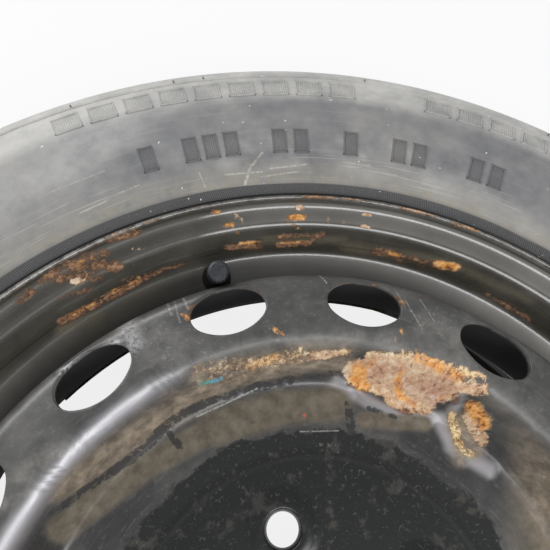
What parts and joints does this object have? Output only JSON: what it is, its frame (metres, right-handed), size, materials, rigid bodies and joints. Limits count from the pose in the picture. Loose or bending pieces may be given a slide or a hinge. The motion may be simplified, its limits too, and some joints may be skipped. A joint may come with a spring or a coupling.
{
  "type": "spare wheel",
  "caption": "Narrow temporary spare wheel: tyre on a steel drop-centre rim with a pressed, vented disc and a snap-in valve; it lies flat, outer side up",
  "frame": {"origin": "centre of the hub mounting face, on the wheel axis", "axes": "+Z is the wheel axis and points to the outer side; the valve stands in the +Y direction; the wheel lies on its inner side"},
  "size_m": [0.606, 0.606, 0.1262],
  "materials": {
    "tyre": "dusty black rubber",
    "rim_paint": "gloss black paint with rust",
    "disc_paint": "black paint, dusty, with rust scale",
    "weld": "painted weld bead",
    "valve_rubber": "black rubber",
    "red_rubber": "red sealing ring",
    "brass": "turned brass",
    "spring_steel": "bright wire",
    "cap_plastic": "black plastic"
  },
  "bodies": {
    "wheel": {"tyre": "tyre", "rim_band": "rim_paint", "wheel_disc": "disc_paint", "disc_welds": "weld", "valve_body": "valve_rubber", "valve_stem": "brass", "core_plug": "brass", "core_barrel": "brass", "core_gasket": "red_rubber", "core_spring": "spring_steel"},
    "core_plunger": {"core_pin": "brass", "core_cup": "brass", "core_seal": "valve_rubber"},
    "cap_seal": {"cap_ring": "valve_rubber"},
    "cap": {"valve_cap": "cap_plastic"}
  },
  "joints": [
    {"name": "core_press", "type": "slide", "parent": "wheel", "child": "core_plunger", "axis": [0, 0.2588, -0.9659], "range_m": [0, 0.0012], "stiffness_N_per_m": 800, "springref_m": -0.002, "deforming": ["core_spring"]},
    {"name": "cap_lift", "type": "slide", "parent": "wheel", "child": "cap_seal", "axis": [0, -0.2588, 0.9659], "range_m": [0, 0.00556]},
    {"name": "cap_turn", "type": "hinge", "parent": "cap_seal", "child": "cap", "pos_m": [0, 0.17048, 0.03555], "axis": [0, -0.2588, 0.9659], "range_deg": [0, 2520]}
  ],
  "couplings": [
    {"joint": "cap_turn", "follows": "cap_lift", "rad_per_m": 7913.3}
  ]
}
